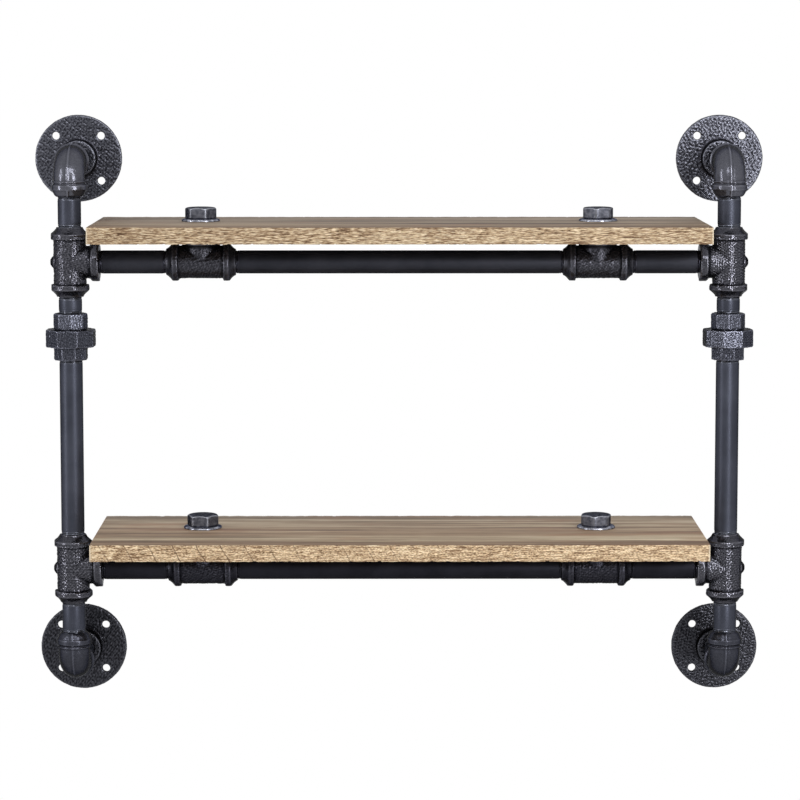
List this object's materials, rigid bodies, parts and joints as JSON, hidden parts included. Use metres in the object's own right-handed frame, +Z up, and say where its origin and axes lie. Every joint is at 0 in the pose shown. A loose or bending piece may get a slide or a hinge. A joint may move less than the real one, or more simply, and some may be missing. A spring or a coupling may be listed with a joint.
{
  "type": "wall shelf",
  "caption": "Two-tier wall shelf: boards clamped by hex plugs on crossbars between two side frames of screwed pipe, tees, elbows and unions, on round wall flanges.",
  "frame": {"origin": "on the wall plane, at the centre of the rectangle of the four flange centres", "axes": "+X to the right seen from the room, +Y into the wall, +Z up; the wall is y = 0 and the shelf stands out to negative y"},
  "size_m": [0.762, 0.203, 0.61],
  "materials": {
    "cast_fittings": "cast iron with a sandy grain under a satin blue-black coat",
    "pipe": "smooth steel pipe under a satin blue-black powder coat",
    "board": "greyed oak with a clear matt oil and a rough-sawn front edge",
    "plug_steel": "polished gun-metal with bright edges",
    "screw_steel": "black oxide",
    "insert_steel": "bare steel"
  },
  "bodies": {
    "root": {"wall_flange_upper_left": "cast_fittings", "wall_flange_upper_right": "cast_fittings", "wall_flange_lower_left": "cast_fittings", "wall_flange_lower_right": "cast_fittings", "flange_nipple_upper_left": "pipe", "flange_nipple_upper_right": "pipe", "flange_nipple_lower_left": "pipe", "flange_nipple_lower_right": "pipe", "elbow_upper_left": "cast_fittings", "elbow_upper_right": "cast_fittings", "elbow_lower_left": "cast_fittings", "elbow_lower_right": "cast_fittings", "riser_pipe_upper_left": "pipe", "riser_pipe_upper_right": "pipe", "riser_pipe_lower_left": "pipe", "riser_pipe_lower_right": "pipe", "upright_tee_upper_left": "cast_fittings", "upright_tee_upper_right": "cast_fittings", "upright_tee_lower_left": "cast_fittings", "upright_tee_lower_right": "cast_fittings", "side_crossbar_upper_left": "pipe", "side_crossbar_upper_right": "pipe", "side_crossbar_lower_left": "pipe", "side_crossbar_lower_right": "pipe", "support_tee_upper_left": "cast_fittings", "support_tee_upper_right": "cast_fittings", "support_tee_lower_left": "cast_fittings", "support_tee_lower_right": "cast_fittings", "union_nipple_left": "pipe", "union_nipple_right": "pipe", "union_tail_left": "cast_fittings", "union_tail_right": "cast_fittings", "union_nut_left": "cast_fittings", "union_nut_right": "cast_fittings", "union_thread_piece_left": "cast_fittings", "union_thread_piece_right": "cast_fittings", "upright_pipe_left": "pipe", "upright_pipe_right": "pipe", "centre_crossbar_upper": "pipe", "centre_crossbar_lower": "pipe", "shelf_board_upper": "board", "shelf_board_lower": "board", "hex_plugs": "plug_steel", "plug_washers": "plug_steel", "end_screws": "screw_steel", "end_inserts": "insert_steel"}
  },
  "joints": []
}
